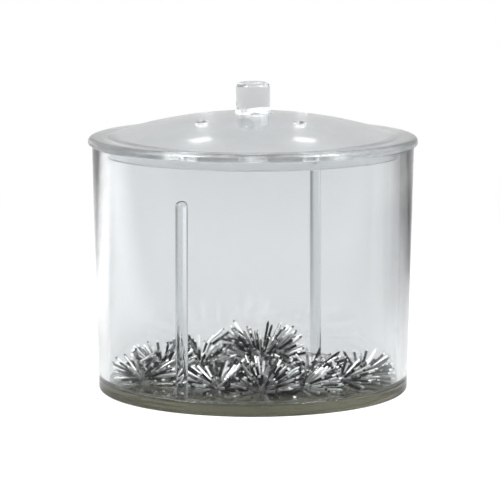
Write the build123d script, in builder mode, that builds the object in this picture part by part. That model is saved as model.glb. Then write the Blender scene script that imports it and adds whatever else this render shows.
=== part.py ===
from build123d import *
import math
import os
import random

import numpy as np

# A round clear canister with a lift-off domed lid.  On its floor sit small disc magnets, and
# each one holds a bristling tuft of short steel pins.
#
# Frame: millimetres, +Z up along the canister's axis, origin at the centre of the underside.
# -Y is the front, the side that the front post stands on.

# ---- canister, driving dimensions ----
mouth_radius = 50.0        # outside of the wall at its mouth
foot_radius = 48.3         # outside of the floor disc at the underside
wall_top = 77.0            # height of the mouth
wall_thickness = 3.4
mouth_round = 0.4          # polished edges of the mouth
floor_thickness = 4.2
foot_round = 1.2           # rounded lower edge of the floor disc

# ---- inner posts ----
post_radius = 1.8
post_top = 64.0            # height of the domed tip
post_seat = 0.25           # how deep the wall's foot cuts into the rod, where it is glued
post_tip_flat = 0.1        # radius of the flat left in the middle of the tip
post_bearings = {"back_post": 61.2, "front_post": 241.2}    # degrees from +X

# ---- lid ----
rim_radius = 51.25
rim_thickness = 2.5
rim_upper_round = 1.6
rim_lower_round = 0.6
dome_rise = 7.3            # crown of the dome above the rim's top
dome_radius = 145.0        # outer spherical radius
dome_thickness = 3.0
dome_foot_round = 3.0      # hollow curve between dome and rim
ring_outer_radius = 46.1   # locating ring, a loose fit in the mouth
ring_thickness = 2.0
ring_depth = 3.2
ring_round = 0.5
vent_count = 4
vent_radius = 2.0
vent_circle_radius = 21.0
vent_bearing = 42.5        # direction of the first vent, degrees from +X

# ---- knob ----
knob_radius = 5.25
knob_height = 9.3
knob_round = 1.3
spigot_radius = 3.0
spigot_hole_radius = 3.05

# ---- magnets and pins ----
magnet_radius = 2.0
magnet_height = 2.0
magnet_round = 0.2
pin_radius = 0.42
pin_length = 7.4
pin_point = 0.9            # length of the ground point
pin_point_radius = 0.16
pin_gap = 0.04             # least air round a pin
pin_sway = 1.1             # how far a pin's line may pass from the middle of its tuft
lowest_rise = -0.04        # the flattest pins dip a little towards the floor
tries_per_pin = 400
checked_points = 15        # places along a pin where its room is tested
seed = 20

# ---- arches of pins that link one tuft to the next ----
arch_spread = 1.4          # how far a pin may lie from the middle of the arch
arch_stray = 0.14          # how far a pin's direction may turn from the arch's
arch_ends = 0.1            # share of the span left free at each magnet
lowest_layer = 0.4         # height of the lowest layer, as a share of the arch's height
arch_pins = 24

# Each tuft: the place of its magnet on the floor, how far its tips reach, how steeply its pins
# rise (1 is upright) and how many there are.
tufts = {
    "left": ((-34.0, -9.0), 10.5, 0.55, 75),
    "left_inner": ((-28.5, 0.5), 11.5, 0.75, 75),
    "back_left": ((-17.0, 11.0), 12.0, 0.7, 75),
    "back": ((2.5, 19.0), 16.0, 0.72, 170),
    "front_left": ((-10.5, -26.5), 14.5, 0.6, 105),
    "front": ((2.5, -31.0), 13.5, 0.72, 110),
    "front_right": ((14.0, -26.0), 13.0, 0.55, 90),
    "right_inner": ((17.5, -1.5), 12.5, 0.45, 85),
    "right": ((26.5, -14.0), 12.5, 0.45, 80),
    "far_right": ((33.0, -4.5), 12.5, 0.5, 80),
}
arches = {                  # the tuft at the far end, and the arch's height
    "left": ("left_inner", 5.0),
    "left_inner": ("back_left", 8.5),
    "back_left": ("back", 9.5),
    "back": ("right_inner", 3.5),
    "right_inner": ("right", 3.0),
}

# ---- worked out from the above ----
floor_top = floor_thickness
draft = (mouth_radius - foot_radius) / wall_top
rim_bottom = wall_top
rim_top = rim_bottom + rim_thickness
crown = rim_top + dome_rise
dome_centre = crown - dome_radius
dome_inner_radius = dome_radius - dome_thickness
crown_inside = crown - dome_thickness
ring_inner_radius = ring_outer_radius - ring_thickness
burr_height = floor_top + magnet_height / 2


def wall_outside(z):
    """Outer radius of the drafted wall at height z."""
    return foot_radius + draft * z


def wall_inside(z):
    return wall_outside(z) - wall_thickness


post_reach = wall_inside(floor_top) - post_radius + post_seat


def sphere_reach(radius, z):
    """How far from the axis a sphere about the dome's centre is, at height z."""
    return math.sqrt(radius**2 - (z - dome_centre) ** 2)


def sphere_height(radius, reach):
    return dome_centre + math.sqrt(radius**2 - reach**2)


# ---- floor disc ----
with BuildPart() as floor_disc:
    with BuildSketch(Plane.XZ):
        with BuildLine():
            Polyline(
                (0, 0),
                (foot_radius, 0),
                (wall_outside(floor_top), floor_top),
                (0, floor_top),
                close=True,
            )
        make_face()
    revolve(axis=Axis.Z)
    lower_edge = floor_disc.edges().filter_by(GeomType.CIRCLE).sort_by(Axis.Z)[0]
    fillet(lower_edge, radius=foot_round)

# ---- canister wall, standing on the floor disc ----
with BuildPart() as canister_wall:
    with BuildSketch(Plane.XZ):
        with BuildLine():
            Polyline(
                (wall_inside(floor_top), floor_top),
                (wall_outside(floor_top), floor_top),
                (mouth_radius, wall_top),
                (mouth_radius - wall_thickness, wall_top),
                close=True,
            )
        make_face()
    revolve(axis=Axis.Z)
    mouth_edges = canister_wall.edges().filter_by(GeomType.CIRCLE).group_by(Axis.Z)[-1]
    fillet(mouth_edges, radius=mouth_round)

# ---- posts, standing upright on the floor and glued to the foot of the drafted wall ----
posts = {}
for post_name, bearing in post_bearings.items():
    foot = Plane.XY.offset(floor_top) * Pos(Vector(post_reach, 0, 0).rotate(Axis.Z, bearing))
    with BuildPart() as post:
        with BuildSketch(foot):
            Circle(post_radius)
        extrude(amount=post_top - floor_top)
        fillet(post.edges().group_by(Axis.Z)[-1], radius=post_radius - post_tip_flat)
        with BuildSketch(Plane.XZ):
            with BuildLine():
                Polyline(
                    (0, floor_top),
                    (wall_inside(floor_top), floor_top),
                    (wall_inside(wall_top), wall_top),
                    (0, wall_top),
                    close=True,
                )
            make_face()
        revolve(axis=Axis.Z, mode=Mode.INTERSECT)
    post.part.label = post_name
    posts[post_name] = post.part

# ---- lid: a blown dome with a flat, round-edged rim ----
dome_foot = sphere_reach(dome_radius, rim_top)
dome_mouth = sphere_reach(dome_inner_radius, rim_bottom)    # where the hollow opens in the underside


def circles_of(part, radius):
    """The part's round edges of that radius, lowest first."""
    round_edges = part.edges().filter_by(GeomType.CIRCLE)
    matching = round_edges.filter_by(lambda edge: math.isclose(edge.radius, radius, abs_tol=1e-3))
    return matching.sort_by(Axis.Z)


with BuildPart() as lid_dome:
    with BuildSketch(Plane.XZ):
        with BuildLine():
            ThreePointArc(
                (spigot_hole_radius, sphere_height(dome_radius, spigot_hole_radius)),
                (dome_foot / 2, sphere_height(dome_radius, dome_foot / 2)),
                (dome_foot, rim_top),
            )
            Polyline(
                (dome_foot, rim_top),
                (rim_radius, rim_top),
                (rim_radius, rim_bottom),
                (dome_mouth, rim_bottom),
            )
            ThreePointArc(
                (dome_mouth, rim_bottom),
                (dome_mouth / 2, sphere_height(dome_inner_radius, dome_mouth / 2)),
                (spigot_hole_radius, sphere_height(dome_inner_radius, spigot_hole_radius)),
            )
            Line(
                (spigot_hole_radius, sphere_height(dome_inner_radius, spigot_hole_radius)),
                (spigot_hole_radius, sphere_height(dome_radius, spigot_hole_radius)),
            )
        make_face()
    revolve(axis=Axis.Z)
    fillet(circles_of(lid_dome, rim_radius)[0], radius=rim_lower_round)
    fillet(circles_of(lid_dome, rim_radius)[-1], radius=rim_upper_round)
    fillet(circles_of(lid_dome, dome_foot)[0], radius=dome_foot_round)
    with BuildSketch(Plane.XY.offset(rim_top)):
        with PolarLocations(vent_circle_radius, vent_count, start_angle=vent_bearing):
            Circle(vent_radius)
    extrude(amount=dome_rise, mode=Mode.SUBTRACT)

# ---- locating ring, glued under the rim ----
with BuildPart() as locating_ring:
    with BuildSketch(Plane.XY.offset(rim_bottom - ring_depth)):
        Circle(ring_outer_radius)
        Circle(ring_inner_radius, mode=Mode.SUBTRACT)
    extrude(amount=ring_depth)
    fillet(locating_ring.edges().group_by(Axis.Z)[0], radius=ring_round)

# ---- knob, a solid turned rod with a spigot glued through the dome ----
with BuildPart() as lid_knob:
    with BuildSketch(Plane.XY.offset(crown_inside)):
        Circle(spigot_radius)
    extrude(amount=dome_thickness)
    with BuildSketch(Plane.XY.offset(crown)):
        Circle(knob_radius)
    extrude(amount=knob_height)
    fillet(lid_knob.edges().sort_by(Axis.Z)[-1], radius=knob_round)


# ---- magnets ----
magnet_places = [Location((x, y, floor_top)) for (x, y), *_ in tufts.values()]
with BuildPart() as disc_magnets:
    with Locations(*magnet_places):
        Cylinder(magnet_radius, magnet_height, align=(Align.CENTER, Align.CENTER, Align.MIN))
    fillet(disc_magnets.edges().group_by(Axis.Z)[-1], radius=magnet_round)

# ---- one pin: a straight shank with a ground point ----
with BuildPart() as straight_pin:
    with BuildSketch(Plane.XZ):
        with BuildLine():
            Polyline(
                (0, 0),
                (pin_radius, 0),
                (pin_radius, pin_length - pin_point),
                (pin_point_radius, pin_length),
                (0, pin_length),
                close=True,
            )
        make_face()
    revolve(axis=Axis.Z)


def clearance(start, end, starts, ends):
    """Least distance from the line start-end to each of the lines starts-ends."""
    along, others, offset = end - start, ends - starts, start - starts
    a = along @ along
    b = others @ along
    c = offset @ along
    e = np.einsum("ij,ij->i", others, others)
    f = np.einsum("ij,ij->i", others, offset)
    across = np.maximum(a * e - b * b, 1e-9)
    s = np.clip((b * f - c * e) / across, 0, 1)
    t = np.clip((b * s + f) / e, 0, 1)
    s = np.clip((b * t - c) / a, 0, 1)
    return np.linalg.norm(offset + s[:, None] * along - t[:, None] * others, axis=1)


class PinBed:
    """The pins placed so far, and what else on the floor a new one has to miss."""

    def __init__(self):
        self.starts = np.empty((0, 3))
        self.ends = np.empty((0, 3))
        self.magnets = np.array([place for place, *_ in tufts.values()])
        turns = [math.radians(bearing) for bearing in post_bearings.values()]
        headings = np.array([[math.cos(turn), math.sin(turn)] for turn in turns])
        self.posts = post_reach * headings

    def has_room(self, start, end):
        points = np.linspace(start, end, checked_points)
        skin = pin_radius + pin_gap
        if points[:, 2].min() < floor_top + skin:
            return False
        if np.hypot(points[:, 0], points[:, 1]).max() > wall_inside(floor_top) - skin:
            return False
        to_posts = np.linalg.norm(points[:, None, :2] - self.posts[None], axis=2)
        if to_posts.min() < post_radius + skin:
            return False
        low = points[points[:, 2] < floor_top + magnet_height + skin]
        to_magnets = np.linalg.norm(low[:, None, :2] - self.magnets[None], axis=2)
        if to_magnets.size and to_magnets.min() < magnet_radius + skin:
            return False
        if not len(self.starts):
            return True
        return clearance(start, end, self.starts, self.ends).min() > 2 * pin_radius + pin_gap

    def place(self, start, end):
        """Adds the pin if it has room, and says whether it had."""
        if not self.has_room(start, end):
            return False
        self.starts = np.vstack([self.starts, start])
        self.ends = np.vstack([self.ends, end])
        return True


def unit(vector):
    return vector / np.linalg.norm(vector)


def stray(chance, width):
    """A small random offset, up to `width` along each axis."""
    return np.array([chance.uniform(-width, width) for _ in range(3)])


def tuft_pin(chance, centre, reach, steepest):
    """A pin that stands out from the middle of a tuft, in any direction above the floor."""
    rise = chance.uniform(lowest_rise, steepest)
    turn = chance.uniform(0, math.tau)
    level = math.sqrt(1 - rise**2)
    heading = np.array([level * math.cos(turn), level * math.sin(turn), rise])
    sway = stray(chance, pin_sway)
    middle = np.array([*centre, burr_height]) + sway
    tip_distance = chance.uniform(magnet_radius + pin_length, reach)
    end = middle + heading * tip_distance
    return end - unit(end - middle + sway) * pin_length, end


def arch_pin(chance, centre, other, crest):
    """A pin that lies along the arch between two tufts."""
    share = chance.uniform(arch_ends, 1 - arch_ends)
    height = crest * chance.uniform(lowest_layer, 1)
    run = np.array([other[0] - centre[0], other[1] - centre[1], 0])
    middle = np.array([*centre, burr_height]) + run * share + stray(chance, arch_spread)
    middle[2] += height * math.sin(math.pi * share)
    heading = unit(run + [0, 0, math.pi * height * math.cos(math.pi * share)])
    heading = unit(heading + stray(chance, arch_stray))
    return middle - heading * pin_length / 2, middle + heading * pin_length / 2


def fill_tuft(bed, count, next_pin):
    """Places up to `count` of the pins that next_pin proposes, and gives their locations."""
    locations = []
    for _ in range(count * tries_per_pin):
        start, end = next_pin()
        if bed.place(start, end):
            locations.append(Plane(origin=tuple(start), z_dir=tuple(end - start)).location)
        if len(locations) == count:
            break
    return locations


chance = random.Random(seed)
bed = PinBed()
pin_places = {name: [] for name in tufts}
for name, (other, crest) in arches.items():
    centre, other_centre = tufts[name][0], tufts[other][0]
    pin_places[name] += fill_tuft(bed, arch_pins, lambda: arch_pin(chance, centre, other_centre, crest))
for name, (centre, reach, steepest, count) in tufts.items():
    pin_places[name] += fill_tuft(bed, count, lambda: tuft_pin(chance, centre, reach, steepest))

pins = {}
for name, places in pin_places.items():
    with BuildPart() as tuft:
        with Locations(*places):
            add(straight_pin.part)
    tuft.part.label = f"pins_{name}"
    pins[tuft.part.label] = tuft.part

# ---- written files ----
floor_disc.part.label = "floor_disc"
canister_wall.part.label = "canister_wall"
lid_dome.part.label = "lid_dome"
locating_ring.part.label = "locating_ring"
lid_knob.part.label = "lid_knob"
disc_magnets.part.label = "disc_magnets"

os.makedirs("parts", exist_ok=True)
export_step(floor_disc.part, "parts/floor_disc.step")
export_step(canister_wall.part, "parts/canister_wall.step")
export_step(lid_dome.part, "parts/lid_dome.step")
export_step(locating_ring.part, "parts/locating_ring.step")
export_step(lid_knob.part, "parts/lid_knob.step")
export_step(disc_magnets.part, "parts/disc_magnets.step")
for post_name, post_part in posts.items():
    export_step(post_part, f"parts/{post_name}.step")
for pins_name, pins_part in pins.items():
    export_step(pins_part, f"parts/{pins_name}.step")
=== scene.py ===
import math
import random

import bmesh
import bpy
from mathutils import Matrix, Vector


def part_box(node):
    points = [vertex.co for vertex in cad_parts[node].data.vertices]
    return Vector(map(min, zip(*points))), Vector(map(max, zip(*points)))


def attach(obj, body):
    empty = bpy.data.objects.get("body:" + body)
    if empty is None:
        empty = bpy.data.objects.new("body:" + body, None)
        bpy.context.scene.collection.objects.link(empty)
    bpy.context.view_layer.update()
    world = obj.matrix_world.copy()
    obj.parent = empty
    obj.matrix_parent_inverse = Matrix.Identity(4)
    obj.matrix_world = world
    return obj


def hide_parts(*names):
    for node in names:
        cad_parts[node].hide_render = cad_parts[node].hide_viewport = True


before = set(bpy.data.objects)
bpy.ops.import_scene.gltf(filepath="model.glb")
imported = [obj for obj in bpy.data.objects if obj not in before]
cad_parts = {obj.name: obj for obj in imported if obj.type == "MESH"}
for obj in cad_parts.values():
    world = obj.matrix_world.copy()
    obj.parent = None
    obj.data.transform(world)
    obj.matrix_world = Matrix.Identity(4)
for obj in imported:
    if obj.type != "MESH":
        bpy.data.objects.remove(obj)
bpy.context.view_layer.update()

MM = 0.001
bond = 0.02 * MM          # glued faces sink into each other this much, so that light crosses them
rest_gap = 0.03 * MM      # air between the mouth and the rim that sits on it

# ---------------------------------------------------------------- heights read from the frame, and sizes
mouth_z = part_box("canister_wall")[1].z
floor_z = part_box("floor_disc")[1].z
knob_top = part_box("lid_knob")[1].z

mouth_radius = 50.0 * MM
foot_radius = 48.3 * MM
wall_thickness = 3.4 * MM
mouth_round = 0.4 * MM
foot_round = 1.2 * MM
draft = (mouth_radius - foot_radius) / mouth_z

post_radius = 1.8 * MM
post_top = 64.0 * MM
post_tip_flat = 0.1 * MM
post_seat = 0.25 * MM
post_bearings = {"back_post": math.radians(61.2), "front_post": math.radians(241.2)}

rim_radius = 51.25 * MM
rim_thickness = 2.5 * MM
rim_upper_round = 1.6 * MM
rim_lower_round = 0.6 * MM
rim_top = mouth_z + rim_thickness
dome_rise = 7.3 * MM
dome_radius = 145.0 * MM
dome_thickness = 3.0 * MM
dome_foot_round = 3.0 * MM
crown = rim_top + dome_rise
dome_centre = crown - dome_radius
ring_outer = 46.1 * MM
ring_thickness = 2.0 * MM
ring_depth = 3.2 * MM
ring_round = 0.5 * MM
vent_count = 4
vent_radius = 2.0 * MM
vent_circle = 21.0 * MM
vent_bearing = math.radians(42.5)
knob_radius = 5.25 * MM
knob_round = 1.3 * MM
spigot_radius = 3.0 * MM
spigot_hole = 3.05 * MM

joint_size = 0.5 * MM      # the fillet of cement where the wall stands on the floor
joint_round = 0.35 * MM    # the fine groove outside, between the wall and the floor
bead_seed = 5
bead_lumps = (0.55, 1.0)   # the size of a lump in a bead, as a share of the bead's
bead_thinnest = 0.35       # a bead between its lumps
bead_fullness = 0.6        # how blunt its lumps are

on_axis = 0.0001 * MM      # a point this close to the axis is on it
SEGMENTS = 256
POST_SIDES = 64
BEAD_SEGMENTS = 176
BEAD_STEPS = 6
dome_sharp = 50            # degrees
seat_heights = [floor_z + k * MM for k in range(1, 14)]     # rings where the wall's foot cuts into a post


def wall_inside(z):
    return foot_radius + draft * z - wall_thickness


# ---------------------------------------------------------------- mesh helpers
def arc(centre, radius, start, end, steps=8):
    """Points on an arc in the profile plane, from angle start to end in degrees."""
    angles = [math.radians(start + (end - start) * i / steps) for i in range(steps + 1)]
    return [(centre[0] + radius * math.cos(a), centre[1] + radius * math.sin(a)) for a in angles]


def rounded(points, radii, steps=8):
    """A closed outline with its corners rounded; a radius of 0 leaves the corner sharp."""
    outline = []
    for i, (point, radius) in enumerate(zip(points, radii)):
        corner = Vector(point)
        if not radius:
            outline.append(tuple(corner))
            continue
        before = (Vector(points[i - 1]) - corner).normalized()
        after = (Vector(points[(i + 1) % len(points)]) - corner).normalized()
        half = before.angle(after) / 2
        middle = corner + (before + after).normalized() * radius / math.sin(half)
        begin = corner + before * radius / math.tan(half) - middle
        finish = corner + after * radius / math.tan(half) - middle
        turn = begin.angle_signed(finish)
        for k in range(steps + 1):
            spin = Matrix.Rotation(-turn * k / steps, 2)
            outline.append(tuple(middle + spin @ begin))
    return outline


def new_object(name, bm, sharp=40):
    """Turns a bmesh into a smooth-shaded object with crisp corners above `sharp` degrees."""
    bmesh.ops.recalc_face_normals(bm, faces=bm.faces)
    mesh = bpy.data.meshes.new(name)
    bm.to_mesh(mesh)
    bm.free()
    mesh.shade_smooth()
    mesh.set_sharp_from_angle(angle=math.radians(sharp))
    piece = bpy.data.objects.new(name, mesh)
    bpy.context.scene.collection.objects.link(piece)
    return piece


def circle(bm, radius, height, sides, centre=Vector((0, 0, 0))):
    """A ring of vertices about a vertical axis."""
    turns = [math.tau * k / sides for k in range(sides)]
    places = [Vector((radius * math.cos(turn), radius * math.sin(turn), height)) for turn in turns]
    return [bm.verts.new(centre + place) for place in places]


def lathe(name, outline, sharp=40, segments=SEGMENTS):
    """Turns a closed outline of (radius, height) points about the vertical axis."""
    bm = bmesh.new()
    rings = []
    for radius, height in outline:
        if radius < on_axis:
            rings.append([bm.verts.new((0, 0, height))])
        else:
            rings.append(circle(bm, radius, height, segments))
    for i, ring in enumerate(rings):
        following = rings[(i + 1) % len(rings)]
        if len(ring) == 1 and len(following) == 1:
            continue
        for k in range(segments):
            n = (k + 1) % segments
            corners = [ring[k % len(ring)], ring[n % len(ring)]]
            corners += [following[n % len(following)], following[k % len(following)]]
            bm.faces.new(list(dict.fromkeys(corners)))
    return new_object(name, bm, sharp)


# ---------------------------------------------------------------- materials
acrylic_index = 1.49
clear_tint = (0.93, 0.945, 0.955)
clear_depth = (0.5, 0.53, 0.54)
clear_density = 8.0


def material(name):
    mat = bpy.data.materials.new(name)
    mat.use_nodes = True
    nodes = mat.node_tree.nodes
    return mat, nodes, mat.node_tree.links, nodes["Principled BSDF"], nodes["Material Output"]


def noise(nodes, links, coords, scale, detail=2.0, stretch=(1, 1, 1)):
    """Smooth noise over the piece's own coordinates."""
    mapping = nodes.new("ShaderNodeMapping")
    mapping.inputs["Scale"].default_value = stretch
    links.new(coords, mapping.inputs["Vector"])
    texture = nodes.new("ShaderNodeTexNoise")
    texture.inputs["Scale"].default_value = scale
    texture.inputs["Detail"].default_value = detail
    links.new(mapping.outputs["Vector"], texture.inputs["Vector"])
    return texture.outputs["Fac"]


def ramp(nodes, links, value, low, high, start=0.0, end=1.0):
    """Maps a value's stretch low..high to start..end."""
    node = nodes.new("ShaderNodeMapRange")
    node.inputs["From Min"].default_value = low
    node.inputs["From Max"].default_value = high
    node.inputs["To Min"].default_value = start
    node.inputs["To Max"].default_value = end
    links.new(value, node.inputs["Value"])
    return node.outputs["Result"]


def absorb(nodes, links, output, tint, density):
    """Colours light by how far it travels inside a piece."""
    body = nodes.new("ShaderNodeVolumeAbsorption")
    body.inputs["Color"].default_value = (*tint, 1)
    body.inputs["Density"].default_value = density
    links.new(body.outputs["Volume"], output.inputs["Volume"])


def add_bump(nodes, links, shader, height, strength, distance):
    bump = nodes.new("ShaderNodeBump")
    bump.inputs["Strength"].default_value = strength
    bump.inputs["Distance"].default_value = distance
    links.new(height, bump.inputs["Height"])
    links.new(bump.outputs["Normal"], shader.inputs["Normal"])


def clear_plastic(
    name, tint, depth_tint, depth_density, polish=0.03, scuffs=0.1, waves=0.02, grain=(1, 1, 0.4),
):
    """Clear acrylic: faint waves in the surface, fine scuffs, and lamps reach through it."""
    mat, nodes, links, shader, output = material(name)
    coords = nodes.new("ShaderNodeTexCoord").outputs["Object"]
    shader.inputs["Base Color"].default_value = (*tint, 1)
    shader.inputs["Transmission Weight"].default_value = 1.0
    shader.inputs["IOR"].default_value = acrylic_index
    wear = noise(nodes, links, coords, 90.0, 6.0, (1, 1, 0.35))
    links.new(ramp(nodes, links, wear, 0.5, 0.8, polish, scuffs), shader.inputs["Roughness"])
    add_bump(nodes, links, shader, noise(nodes, links, coords, 22.0, 1.0, grain), waves, 1.0 * MM)
    rays = nodes.new("ShaderNodeLightPath")
    through = nodes.new("ShaderNodeBsdfTransparent")
    through.inputs["Color"].default_value = (0.92, 0.93, 0.93, 1)
    mix = nodes.new("ShaderNodeMixShader")
    links.new(rays.outputs["Is Shadow Ray"], mix.inputs["Fac"])
    links.new(shader.outputs["BSDF"], mix.inputs[1])
    links.new(through.outputs["BSDF"], mix.inputs[2])
    links.new(mix.outputs["Shader"], output.inputs["Surface"])
    absorb(nodes, links, output, depth_tint, depth_density)
    return mat


def steel(name, dark, light, rough):
    """Drawn steel: each pin has its own shade, dark and polished or bright and satin; on the pins the
    near-black and white shades are partly a real difference between pins and mostly painted light and
    shade, standing in for glints and shadowed gaps in the tufts.
    """
    mat, nodes, links, shader, _ = material(name)
    coords = nodes.new("ShaderNodeTexCoord").outputs["Object"]
    shader.inputs["Metallic"].default_value = 1.0
    # shade per pin plus noise; on the pins this is mostly painted light and shade
    tone_and_painted_light = noise(nodes, links, coords, 420.0, 3.0)
    own = nodes.new("ShaderNodeNewGeometry").outputs["Random Per Island"]
    shade = nodes.new("ShaderNodeMath")
    shade.operation = "MULTIPLY_ADD"
    links.new(tone_and_painted_light, shade.inputs[0])
    shade.inputs[1].default_value = 0.4
    links.new(own, shade.inputs[2])
    blend = nodes.new("ShaderNodeMix")
    blend.data_type = "RGBA"
    blend.inputs["A"].default_value = (*dark, 1)
    blend.inputs["B"].default_value = (*light, 1)
    brightness = ramp(nodes, links, shade.outputs["Value"], 0.55, 0.85)
    links.new(brightness, blend.inputs["Factor"])
    links.new(blend.outputs["Result"], shader.inputs["Base Color"])
    links.new(ramp(nodes, links, brightness, 0.0, 1.0, *rough), shader.inputs["Roughness"])
    add_bump(nodes, links, shader, noise(nodes, links, coords, 2600.0), 0.15, 0.05 * MM)
    return mat


def drilled_plastic(name, depth_tint, depth_density):
    """The whitish, matt walls of a bored hole and the cement round a glued joint; their white patches are
    partly the frosting of cut and cemented acrylic and partly painted glints, standing in for the
    sparkles at the knob's foot and at the vents.
    """
    mat, nodes, links, shader, output = material(name)
    coords = nodes.new("ShaderNodeTexCoord").outputs["Object"]
    shader.inputs["Base Color"].default_value = (0.95, 0.96, 0.97, 1)
    shader.inputs["IOR"].default_value = acrylic_index
    # patches of whitish matt against clear: partly painted glints
    marks_and_painted_glints = noise(nodes, links, coords, 550.0)
    links.new(ramp(nodes, links, marks_and_painted_glints, 0.4, 0.6, 0.05, 0.4), shader.inputs["Roughness"])
    links.new(ramp(nodes, links, marks_and_painted_glints, 0.42, 0.56, 0.0, 0.9), shader.inputs["Transmission Weight"])
    add_bump(nodes, links, shader, marks_and_painted_glints, 0.6, 0.2 * MM)
    absorb(nodes, links, output, depth_tint, depth_density)
    return mat


acrylic = clear_plastic("clear_acrylic", clear_tint, clear_depth, clear_density)
edge_tinted = clear_plastic(
    "tinted_acrylic", (0.93, 0.94, 0.93), (0.517, 0.507, 0.42), 36.0, waves=0.3, grain=(0.5, 0.5, 14),
)
post_acrylic = clear_plastic("post_acrylic", (0.93, 0.94, 0.95), clear_depth, 60.0)
dome_acrylic = clear_plastic(
    "dome_acrylic", clear_tint, clear_depth, clear_density, polish=0.09, scuffs=0.14,
)
joint_cement = clear_plastic(
    "joint_cement", (0.8, 0.79, 0.76), (0.5, 0.48, 0.40), 900.0, polish=0.1, scuffs=0.3, waves=0.3,
)
# whitish matt: partly real frosting, partly painted glints
frosted_and_painted_glints = drilled_plastic("drilled_acrylic", clear_depth, clear_density)
# painted light and shade: near-black and white pins stand in for the shadowed gaps and glints in the
# tufts
pin_steel = steel("pin_steel", (0.03, 0.03, 0.03), (1.0, 1.0, 0.99), (0.1, 0.36))
plating = steel("magnet_plating", (0.45, 0.45, 0.44), (0.6, 0.6, 0.58), (0.2, 0.4))


def cover(piece, mat):
    piece.data.materials.clear()
    piece.data.materials.append(mat)


def finish_piece(piece, body, node, mat):
    cover(piece, mat)
    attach(piece, body)
    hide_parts(node)


# ---------------------------------------------------------------- canister
wall_foot = floor_z - bond
wall = lathe("wall", rounded(
    [
        (wall_inside(wall_foot), wall_foot),
        (wall_inside(wall_foot) + wall_thickness, wall_foot),
        (mouth_radius, mouth_z - rest_gap),
        (mouth_radius - wall_thickness, mouth_z - rest_gap),
    ],
    [0, joint_round, mouth_round, mouth_round],
))
finish_piece(wall, "canister", "canister_wall", acrylic)

floor_disc = lathe("floor_sheet", rounded(
    [(0, 0), (foot_radius, 0), (foot_radius + draft * floor_z, floor_z), (0, floor_z)],
    [0, foot_round, joint_round, 0],
))
finish_piece(floor_disc, "canister", "floor_disc", edge_tinted)

joint_radius = wall_inside(floor_z) + bond
joint = lathe("floor_joint", [
    (joint_radius - joint_size, floor_z - bond),
    (joint_radius, floor_z - bond),
    (joint_radius, floor_z + joint_size),
])
cover(joint, joint_cement)
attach(joint, "canister")


def post(name, bearing):
    """An upright rod with a domed tip, seated in the foot of the wall where it is glued."""
    tip_round = post_radius - post_tip_flat
    outline = [(post_radius, floor_z - bond)]
    outline += arc((post_tip_flat, post_top - tip_round), tip_round, 0, 90, 12)
    reach = wall_inside(floor_z) - post_radius + post_seat
    centre = Vector((math.cos(bearing), math.sin(bearing), 0)) * reach
    bm = bmesh.new()
    rings = [circle(bm, radius, height, POST_SIDES, centre) for radius, height in outline]
    for lower, upper in zip(rings, rings[1:]):
        for k in range(POST_SIDES):
            n = (k + 1) % POST_SIDES
            bm.faces.new((lower[k], lower[n], upper[n], upper[k]))
    bm.faces.new(reversed(rings[0]))
    bm.faces.new(rings[-1])
    for height in seat_heights:
        geometry = bm.verts[:] + bm.edges[:] + bm.faces[:]
        bmesh.ops.bisect_plane(bm, geom=geometry, plane_co=(0, 0, height), plane_no=(0, 0, 1))
    for vert in bm.verts:
        limit = wall_inside(vert.co.z) + bond
        reach = math.hypot(vert.co.x, vert.co.y)
        if reach > limit:
            vert.co.x *= limit / reach
            vert.co.y *= limit / reach
    return new_object(name, bm)


for node, bearing in post_bearings.items():
    finish_piece(post(node + "_rod", bearing), "canister", node, post_acrylic)


# ---------------------------------------------------------------- lid
def on_sphere(radius, reach):
    return (reach, dome_centre + math.sqrt(radius ** 2 - reach ** 2))


def sphere_points(radius, first, last, steps=24):
    return [on_sphere(radius, first + (last - first) * k / steps) for k in range(steps + 1)]


dome_foot = math.sqrt(dome_radius ** 2 - (rim_top - dome_centre) ** 2)
inner_radius = dome_radius - dome_thickness
dome_mouth = math.sqrt(inner_radius ** 2 - (mouth_z - dome_centre) ** 2)
outer_cap = sphere_points(dome_radius, spigot_hole, dome_foot)
inner_cap = sphere_points(inner_radius, dome_mouth, spigot_hole)
outline = outer_cap[:-1] + [(dome_foot, rim_top), (rim_radius, rim_top), (rim_radius, mouth_z)]
radii = [0] * (len(outer_cap) - 1) + [dome_foot_round, rim_upper_round, rim_lower_round]
outline += inner_cap
radii += [0] * len(inner_cap)
dome = lathe("dome", rounded(outline, radii, 10), sharp=dome_sharp)
vent_turns = [vent_bearing + math.tau * k / vent_count for k in range(vent_count)]
vent_axes = [Vector((math.cos(turn), math.sin(turn))) * vent_circle for turn in vent_turns]


def drill_vents(piece):
    """Cuts the vent holes through the dome with a boolean, then drops the cutters."""
    cutters = []
    for axis in vent_axes:
        bm = bmesh.new()
        bmesh.ops.create_cone(
            bm, cap_ends=True, segments=48, radius1=vent_radius, radius2=vent_radius, depth=20 * MM,
            matrix=Matrix.Translation((*axis, crown)),
        )
        cutters.append(new_object("vent_cutter", bm))
    for cutter in cutters:
        cut = piece.modifiers.new("vent", "BOOLEAN")
        cut.operation = "DIFFERENCE"
        cut.solver = "EXACT"
        cut.object = cutter
    bpy.context.view_layer.update()
    evaluated = piece.evaluated_get(bpy.context.evaluated_depsgraph_get())
    mesh = bpy.data.meshes.new_from_object(evaluated)
    piece.modifiers.clear()
    piece.data = mesh
    for cutter in cutters:
        bpy.data.objects.remove(cutter)
    mesh.shade_smooth()
    mesh.set_sharp_from_angle(angle=math.radians(dome_sharp))


def mark_faces(piece, is_matt):
    """Gives the bored or cemented faces of a piece their own whitish matt material, whose white is partly
    painted glints.
    """
    piece.data.materials.append(frosted_and_painted_glints)
    for face in piece.data.polygons:
        if is_matt(face):
            face.material_index = 1


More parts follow.
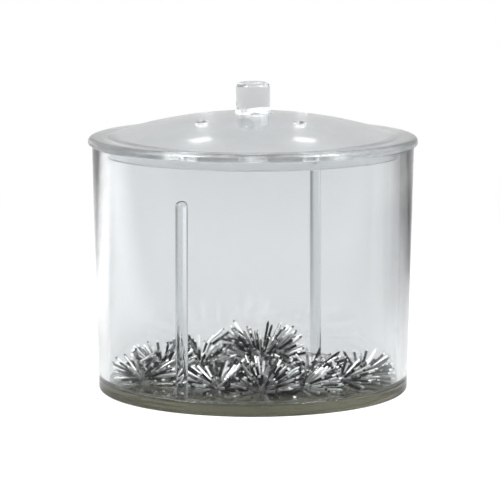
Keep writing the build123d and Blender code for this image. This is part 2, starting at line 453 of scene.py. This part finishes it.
def in_bore(face):
    """Tells whether a face of the dome is the wall of a vent or of the knob's hole."""
    nearest = min((face.center.xy - axis).length for axis in [Vector((0, 0)), *vent_axes])
    upright = abs(face.normal.z) < 0.3
    return upright and face.center.z > rim_top and nearest < spigot_hole + bond


drill_vents(dome)
finish_piece(dome, "lid", "lid_dome", dome_acrylic)
# the bores' whitish matt walls are partly painted glints at the vents
mark_faces(dome, in_bore)

ring = lathe("ring", rounded(
    [
        (ring_outer - ring_thickness, mouth_z + bond),
        (ring_outer - ring_thickness, mouth_z - ring_depth),
        (ring_outer, mouth_z - ring_depth),
        (ring_outer, mouth_z + bond),
    ],
    [0, ring_round, ring_round, 0],
))
finish_piece(ring, "lid", "locating_ring", acrylic)

knob = lathe("knob", rounded(
    [
        (0, crown - dome_thickness),
        (spigot_radius, crown - dome_thickness),
        (spigot_radius, crown),
        (knob_radius, crown),
        (knob_radius, knob_top),
        (0, knob_top),
    ],
    [0, 0, 0, 0, knob_round, 0],
    12,
), segments=96)
finish_piece(knob, "lid", "lid_knob", acrylic)
# the spigot's whitish matt faces are partly painted glints at the knob's foot
mark_faces(knob, lambda face: face.center.z < crown)


def cement_bead(name, radius, height, lumps, bead_size, rise):
    """An uneven bead of clear cement squeezed out round the knob, above or below the crown; it is drawn
    whitish and matt, partly as painted glints.
    """
    chance = random.Random(bead_seed)
    sizes = [chance.uniform(*bead_lumps) for _ in range(lumps)]
    bm = bmesh.new()
    rings = []
    for k in range(BEAD_SEGMENTS):
        turn = math.tau * k / BEAD_SEGMENTS
        place = lumps * k / BEAD_SEGMENTS
        lump = abs(math.sin(math.pi * place)) ** bead_fullness * sizes[int(place)]
        size = bead_size * (bead_thinnest + (1 - bead_thinnest) * lump)
        section = [(radius - bond, height - rise * bond), (radius + size, height - rise * bond)]
        for step in range(1, BEAD_STEPS):
            lean = math.radians(90 * step / BEAD_STEPS)
            out, up = 1 - math.sin(lean), 1 - math.cos(lean)
            section.append((radius + size * out, height + rise * size * up))
        section.append((radius - bond, height + rise * size))
        rings.append([bm.verts.new((r * math.cos(turn), r * math.sin(turn), z)) for r, z in section])
    for ring, following in zip(rings, rings[1:] + rings[:1]):
        for j in range(len(ring)):
            n = (j + 1) % len(ring)
            bm.faces.new((ring[j], ring[n], following[n], following[j]))
    piece = new_object(name, bm)
    cover(piece, frosted_and_painted_glints)
    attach(piece, "lid")


# the beads' whitish matt colour is partly painted glints at the knob's foot
cement_bead("foot_cement", knob_radius, crown, 11, 1.2 * MM, 1)
cement_bead("spigot_cement", spigot_hole, crown - dome_thickness, 7, 3.2 * MM, -1)

# ---------------------------------------------------------------- magnets and pins keep their CAD shape
for name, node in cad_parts.items():
    if name.startswith("pins_"):
        cover(node, pin_steel)
    elif name == "disc_magnets":
        cover(node, plating)


# ---------------------------------------------------------------- stage: floor, light, camera
def lobe(nodes, links, direction, bearing, inner, outer):
    """1 within `inner` degrees of a bearing from +Y towards +X, fading to 0 at `outer` degrees."""
    turn = math.radians(bearing)
    dot = nodes.new("ShaderNodeVectorMath")
    dot.operation = "DOT_PRODUCT"
    dot.inputs[1].default_value = (math.sin(turn), math.cos(turn), 0)
    links.new(direction, dot.inputs[0])
    faded, full = math.cos(math.radians(outer)), math.cos(math.radians(inner))
    return ramp(nodes, links, dot.outputs["Value"], faded, full)


def blend_value(nodes, links, factor, first, second):
    """Mixes two shades; the first is a socket or a number, the second a number."""
    mix = nodes.new("ShaderNodeMix")
    links.new(factor, mix.inputs["Factor"])
    if isinstance(first, float):
        mix.inputs["A"].default_value = first
    else:
        links.new(first, mix.inputs["A"])
    mix.inputs["B"].default_value = second
    return mix.outputs["Result"]


def room_shade(nodes, links, position, lobes):
    """The shade of the studio round about: a light sweep behind, darker flags beside it; in the world
    this is the room's light, on the table it is painted light and shade.
    """
    flat = nodes.new("ShaderNodeVectorMath")
    flat.operation = "MULTIPLY"
    flat.inputs[1].default_value = (1, 1, 0)
    links.new(position, flat.inputs[0])
    level = nodes.new("ShaderNodeVectorMath")
    level.operation = "NORMALIZE"
    links.new(flat.outputs["Vector"], level.inputs[0])
    shade = room_level
    for bearing, inner, outer, strength in lobes:
        within = lobe(nodes, links, level.outputs["Vector"], bearing, inner, outer)
        shade = blend_value(nodes, links, within, shade, strength)
    return shade, flat.outputs["Vector"], level.outputs["Vector"]


def camera_only(nodes, links, seen, behind, output):
    """Shows the camera one shader and every other ray the other."""
    rays = nodes.new("ShaderNodeLightPath")
    mix = nodes.new("ShaderNodeMixShader")
    links.new(rays.outputs["Is Camera Ray"], mix.inputs["Fac"])
    links.new(behind, mix.inputs[1])
    links.new(seen, mix.inputs[2])
    links.new(mix.outputs["Shader"], output.inputs["Surface"])


def stage_floor():
    """A plain white table to the camera; to every other ray its colour carries painted light and shade:
    the light sweep and the darker room by bearing, a painted pool of light close behind the object and a
    painted lighter far end, which is what shows through the plastic.
    """
    bm = bmesh.new()
    below = Matrix.Translation((0, 0, -0.05 * MM))
    bmesh.ops.create_grid(bm, x_segments=1, y_segments=1, size=floor_reach, matrix=below)
    piece = new_object("studio_floor", bm)
    mat, nodes, links, shader, output = material("studio_floor")
    shader.inputs["Base Color"].default_value = (0.9, 0.9, 0.9, 1)
    shader.inputs["Roughness"].default_value = 0.9
    shader.inputs["Specular IOR Level"].default_value = 0.0
    position = nodes.new("ShaderNodeTexCoord").outputs["Object"]
    # painted light and shade: the table's colour by bearing stands in for the sweep and the darker room
    shade, flat, bearing = room_shade(nodes, links, position, painted_table_lobes)
    distance = nodes.new("ShaderNodeVectorMath")
    distance.operation = "LENGTH"
    links.new(flat, distance.inputs[0])
    # painted pool of light close behind the object
    near = nodes.new("ShaderNodeMath")
    near.operation = "MULTIPLY"
    links.new(ramp(nodes, links, distance.outputs["Value"], pool_outer, pool_inner), near.inputs[0])
    links.new(lobe(nodes, links, bearing, 0.0, 75.0, 110.0), near.inputs[1])
    shade = blend_value(nodes, links, near.outputs["Value"], shade, painted_pool_shade)
    # painted light on the far end of the table
    far = nodes.new("ShaderNodeMath")
    far.operation = "MULTIPLY"
    links.new(ramp(nodes, links, distance.outputs["Value"], far_inner, far_outer), far.inputs[0])
    links.new(lobe(nodes, links, bearing, 0.0, 75.0, 110.0), far.inputs[1])
    shade = blend_value(nodes, links, far.outputs["Value"], shade, painted_far_light)
    unseen = nodes.new("ShaderNodeBsdfDiffuse")
    links.new(shade, unseen.inputs["Color"])
    sweep = nodes.new("ShaderNodeEmission")
    sweep.inputs["Color"].default_value = (1, 1, 1, 1)
    sweep.inputs["Strength"].default_value = 1.0
    seen = nodes.new("ShaderNodeMixShader")
    links.new(ramp(nodes, links, distance.outputs["Value"], sweep_inner, sweep_outer), seen.inputs["Fac"])
    links.new(shader.outputs["BSDF"], seen.inputs[1])
    links.new(sweep.outputs["Emission"], seen.inputs[2])
    camera_only(nodes, links, seen.outputs["Shader"], unseen.outputs["BSDF"], output)
    piece.data.materials.append(mat)


def studio_world():
    """White to the camera; to the plastic and the steel, a light sweep behind and a grey room."""
    world = bpy.data.worlds.new("studio")
    bpy.context.scene.world = world
    world.use_nodes = True
    nodes, links = world.node_tree.nodes, world.node_tree.links
    direction = nodes.new("ShaderNodeTexCoord").outputs["Generated"]
    shade, _, _ = room_shade(nodes, links, direction, world_lobes)
    split = nodes.new("ShaderNodeSeparateXYZ")
    links.new(direction, split.inputs["Vector"])
    overhead = ramp(nodes, links, split.outputs["Z"], 0.45, 0.9)
    shade = blend_value(nodes, links, overhead, shade, ceiling_shade)
    room = nodes["Background"]
    links.new(shade, room.inputs["Color"])
    backdrop = nodes.new("ShaderNodeBackground")
    backdrop.inputs["Color"].default_value = (1, 1, 1, 1)
    seen, unseen = backdrop.outputs["Background"], room.outputs["Background"]
    camera_only(nodes, links, seen, unseen, nodes["World Output"])


def softbox(name, location, size, power, mirrored=True, target=(0, 0, 0.04)):
    """An area lamp aimed at the object; the camera never sees it, and steel and plastic may."""
    lamp = bpy.data.lights.new(name, "AREA")
    lamp.shape = "RECTANGLE"
    lamp.size, lamp.size_y = size
    lamp.energy = power
    piece = bpy.data.objects.new(name, lamp)
    piece.location = location
    piece.rotation_euler = (Vector(target) - Vector(location)).to_track_quat("-Z", "Y").to_euler()
    piece.visible_camera = False
    piece.visible_glossy = mirrored
    piece.visible_transmission = mirrored
    bpy.context.scene.collection.objects.link(piece)
    return piece


floor_reach = 1.1
pool_inner = 0.12          # a painted pool of light on the table close behind the object, fading from here
pool_outer = 0.25
painted_pool_shade = 0.58
far_inner = 0.45           # painted light: the far end of the table is lighter again between these distances
far_outer = 0.6
painted_far_light = 0.78
sweep_inner = 0.2          # where the table starts to turn into the white sweep behind it
sweep_outer = 0.45
room_level = 0.4
ceiling_shade = 0.6
world_lobes = [            # bearing, half width, half width where it has faded out, shade
    (-78.0, 22.0, 34.0, 0.35),
    (55.0, 28.0, 42.0, 0.45),
    (-10.0, 22.0, 38.0, 0.68),
    (-38.0, 16.0, 23.0, 1.0),
    (180.0, 50.0, 110.0, 0.15),
]
# painted light and shade on the table, by bearing: light sweep behind, darker room beside and in front
painted_table_lobes = [
    (-78.0, 22.0, 34.0, 0.22),
    (62.0, 24.0, 36.0, 0.24),
    (-10.0, 22.0, 38.0, 0.68),
    (-38.0, 16.0, 23.0, 1.0),
    (180.0, 50.0, 110.0, 0.15),
]
stage_floor()
studio_world()
softbox("softbox_back_left", (-0.125, 0.98, 0.74), (0.05, 0.07), 0.03)
softbox("softbox_back_right", (0.125, 0.98, 0.74), (0.05, 0.07), 0.03)
softbox("softbox_top", (0, -0.55, 0.9), (1.1, 0.6), 3.0)
softbox("softbox_front_left", (-0.55, -0.4, 0.6), (0.35, 0.35), 5.5)
softbox("softbox_front_right", (0.55, -0.35, 0.65), (0.35, 0.35), 5.5)
softbox("fill", (0, 0, 2.0), (3.0, 3.0), 9.0, mirrored=False)

camera_distance = 0.95
camera_pitch = math.radians(8.5)
target = Vector((-0.94 * MM, 0, 43.5 * MM))
camera_data = bpy.data.cameras.new("camera")
camera_data.sensor_width = 36.0
camera_data.lens = 3.2 * camera_distance / MM * 36.0 / 500.0
camera = bpy.data.objects.new("camera", camera_data)
back = Vector((0, -math.cos(camera_pitch), math.sin(camera_pitch)))
camera.location = target + back * camera_distance
camera.rotation_mode = "QUATERNION"
camera.rotation_quaternion = (-back).to_track_quat("-Z", "Y")
camera_data.clip_start, camera_data.clip_end = 0.01, 50.0
bpy.context.scene.collection.objects.link(camera)
bpy.context.scene.camera = camera
bpy.context.scene.view_settings.view_transform = "Standard"
bpy.context.scene.cycles.max_bounces = 32
bpy.context.scene.cycles.transmission_bounces = 32
bpy.context.scene.cycles.glossy_bounces = 16
bpy.context.scene.cycles.transparent_max_bounces = 32
